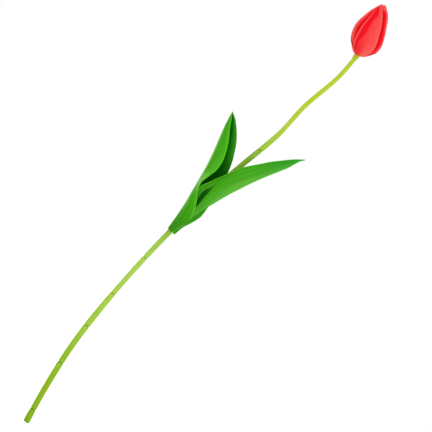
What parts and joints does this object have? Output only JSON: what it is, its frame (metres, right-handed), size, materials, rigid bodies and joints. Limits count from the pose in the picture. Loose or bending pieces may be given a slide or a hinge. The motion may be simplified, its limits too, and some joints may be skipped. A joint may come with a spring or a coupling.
{
  "type": "artificial tulip",
  "caption": "Single-stem artificial tulip: closed red bud on a bendable wired stem of moulded sleeves, with two clasping leaves that flex.",
  "frame": {"origin": "centre of the flat face at the foot of the stem", "axes": "+Z from the foot towards the tip of the bud, +X to the right and -Y towards the viewer seen from the front"},
  "size_m": [0.0742, 0.028, 0.471],
  "materials": {
    "stem": "moulded polyethylene, satin, lime green",
    "upper_stem": "moulded polyethylene, satin, yellow-green",
    "leaf": "soft-touch polyurethane, fine parallel veins",
    "petal": "soft-touch polyurethane, matt, fine veins",
    "foam": "light foam, hidden in the bud",
    "calyx": "moulded polyethylene, olive",
    "wire": "zinc-plated drawn wire"
  },
  "bodies": {
    "lower_stem": {"foot_cap": "stem", "stem_sleeve_1": "stem", "wire_core_1": "wire"},
    "stem_2": {"stem_sleeve_2": "stem", "wire_core_2": "wire"},
    "stem_3": {"stem_sleeve_3": "stem", "wire_core_3": "wire"},
    "stem_4": {"stem_sleeve_4": "stem", "wire_core_4": "wire"},
    "stem_mid": {"stem_sleeve_5": "stem", "stem_sleeve_6": "stem", "stem_sleeve_7": "stem", "wire_core_5": "wire"},
    "upper_stem_body": {"upper_stem": "upper_stem", "wire_core_6": "wire"},
    "head": {"bud_collar": "calyx", "bud_receptacle": "calyx", "bud_foam_core": "foam", "inner_petal_left": "petal", "inner_petal_right": "petal", "inner_petal_back": "petal", "wire_core_7": "wire"},
    "outer_petal_front_body": {"outer_petal_front": "petal"},
    "outer_petal_left_body": {"outer_petal_left": "petal"},
    "outer_petal_right_body": {"outer_petal_right": "petal"},
    "outer_leaf_body": {"leaf_outer": "leaf"},
    "inner_leaf_body": {"leaf_inner": "leaf"}
  },
  "joints": [
    {"name": "node_2_bend", "type": "hinge", "parent": "lower_stem", "child": "stem_2", "pos_m": [-0.01067, 0, 0.05771], "axis": [0, 1, 0], "range_deg": [-15, 15]},
    {"name": "node_3_bend", "type": "hinge", "parent": "stem_2", "child": "stem_3", "pos_m": [-0.01436, 0, 0.09602], "axis": [0.999, 0, 0.0454], "range_deg": [-15, 15]},
    {"name": "node_4_bend", "type": "hinge", "parent": "stem_3", "child": "stem_4", "pos_m": [-0.01513, 0, 0.1314], "axis": [0, 1, 0], "range_deg": [-15, 15]},
    {"name": "node_5_bend", "type": "hinge", "parent": "stem_4", "child": "stem_mid", "pos_m": [-0.01434, 0, 0.1725], "axis": [0.9993, 0, -0.0366], "range_deg": [-15, 15]},
    {"name": "node_8_bend", "type": "hinge", "parent": "stem_mid", "child": "upper_stem_body", "pos_m": [0.00049, 0, 0.30644], "axis": [0, 1, 0], "range_deg": [-15, 15]},
    {"name": "neck_bend", "type": "hinge", "parent": "upper_stem_body", "child": "head", "pos_m": [0.01082, 0, 0.41729], "axis": [0.9992, 0, 0.0392], "range_deg": [-20, 20]},
    {"name": "outer_petal_front_flex", "type": "hinge", "parent": "head", "child": "outer_petal_front_body", "pos_m": [0.01059, -0.00195, 0.42243], "axis": [0.9767, 0, 0.2147], "range_deg": [0, 12], "stiffness_Nm_per_rad": 0.004, "springref_deg": -8.59},
    {"name": "outer_petal_left_flex", "type": "hinge", "parent": "head", "child": "outer_petal_left_body", "pos_m": [0.00894, 0.00097, 0.42207], "axis": [-0.4883, -0.866, -0.1074], "range_deg": [0, 12], "stiffness_Nm_per_rad": 0.004, "springref_deg": -8.59},
    {"name": "outer_petal_right_flex", "type": "hinge", "parent": "head", "child": "outer_petal_right_body", "pos_m": [0.01224, 0.00097, 0.42279], "axis": [-0.4883, 0.866, -0.1074], "range_deg": [0, 12], "stiffness_Nm_per_rad": 0.004, "springref_deg": -8.59},
    {"name": "outer_leaf_flex", "type": "hinge", "parent": "stem_mid", "child": "outer_leaf_body", "pos_m": [-0.01269, 0, 0.20445], "axis": [0, -1, 0], "range_deg": [0, 20], "stiffness_Nm_per_rad": 0.01, "springref_deg": -8.59},
    {"name": "inner_leaf_flex", "type": "hinge", "parent": "stem_mid", "child": "inner_leaf_body", "pos_m": [-0.01222, 0, 0.20943], "axis": [0, 1, 0], "range_deg": [0, 20], "stiffness_Nm_per_rad": 0.01, "springref_deg": -8.59}
  ]
}
